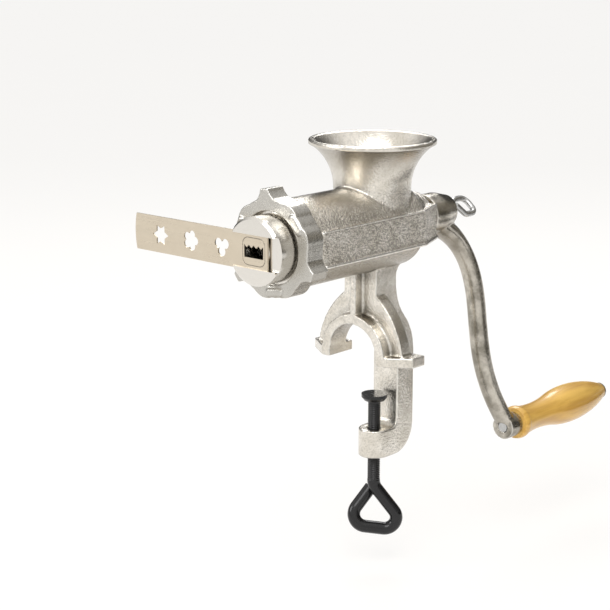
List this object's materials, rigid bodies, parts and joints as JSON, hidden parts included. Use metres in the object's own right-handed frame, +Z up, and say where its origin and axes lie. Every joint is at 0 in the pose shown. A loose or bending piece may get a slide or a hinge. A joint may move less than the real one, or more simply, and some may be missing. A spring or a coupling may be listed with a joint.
{
  "type": "hand-cranked food mincer",
  "caption": "Table-clamp food mincer: flared hopper, feed worm in a barrel, lobed ring nut, biscuit press head with sliding pattern strip, swan-necked crank with wooden grip.",
  "frame": {"origin": "on the clamp screw's axis, in the plane of the feet's soles, which is the table top", "axes": "+X along the barrel from the outlet to the crank, +Y away from the near side, +Z up"},
  "size_m": [0.395, 0.1729, 0.311],
  "materials": {
    "tinned_iron": "tinned sand casting",
    "ring_iron": "tinned, satin",
    "head_aluminium": "turned and polished",
    "strip_steel": "satin",
    "bright_steel": "bright plated",
    "dark_steel": "blackened and oiled",
    "bush_brass": "turned",
    "grip_wood": "clear varnish"
  },
  "bodies": {
    "casting": {"body_casting": "tinned_iron", "rear_bush": "bush_brass", "thrust_washer": "bright_steel"},
    "crank": {"feed_worm": "tinned_iron", "worm_stud": "bright_steel", "crank_arm": "tinned_iron", "handle_pin": "bright_steel", "handle_inner_washer": "bright_steel", "handle_end_rivet": "bright_steel"},
    "grip": {"handle_grip": "grip_wood"},
    "crank_washer": {"crank_screw_washer": "bright_steel"},
    "crank_screw": {"crank_screw": "bright_steel"},
    "head": {"biscuit_head": "head_aluminium"},
    "ring": {"ring_nut": "ring_iron"},
    "strip": {"pattern_strip": "strip_steel"},
    "pad": {"clamp_pad": "dark_steel"},
    "screw": {"clamp_screw": "dark_steel"}
  },
  "joints": [
    {"name": "crank_turn", "type": "hinge", "parent": "casting", "child": "crank", "pos_m": [0, 0, 0.0995], "axis": [1, 0, 0], "continuous": true},
    {"name": "handle_spin", "type": "hinge", "parent": "crank", "child": "grip", "pos_m": [0.2, -0.03763, -0.07754], "axis": [1, 0, 0], "continuous": true},
    {"name": "crank_washer_slide", "type": "slide", "parent": "crank", "child": "crank_washer", "axis": [1, 0, 0], "range_m": [0, 0.015]},
    {"name": "crank_screw_turn", "type": "hinge", "parent": "crank_washer", "child": "crank_screw", "pos_m": [0.087, 0, 0.0995], "axis": [1, 0, 0], "range_deg": [0, 5400]},
    {"name": "head_slide", "type": "slide", "parent": "casting", "child": "head", "axis": [-1, 0, 0], "range_m": [0, 0.0075]},
    {"name": "ring_nut_turn", "type": "hinge", "parent": "head", "child": "ring", "pos_m": [-0.108, 0, 0.0995], "axis": [-1, 0, 0], "range_deg": [0, 900]},
    {"name": "strip_slide", "type": "slide", "parent": "head", "child": "strip", "axis": [0, -1, 0], "range_m": [0, 0.093]},
    {"name": "clamp_slide", "type": "slide", "parent": "casting", "child": "pad", "axis": [0, 0, 1], "range_m": [-0.02, 0.0181]},
    {"name": "clamp_turn", "type": "hinge", "parent": "pad", "child": "screw", "pos_m": [0, 0, -0.036], "axis": [0, 0, 1], "range_deg": [-4780, 4320]}
  ],
  "couplings": [
    {"joint": "crank_washer_slide", "follows": "crank_screw_turn", "m_per_rad": 0.00015915},
    {"joint": "head_slide", "follows": "ring_nut_turn", "m_per_rad": 0.00047746},
    {"joint": "clamp_slide", "follows": "clamp_turn", "m_per_rad": 0.00023873}
  ]
}
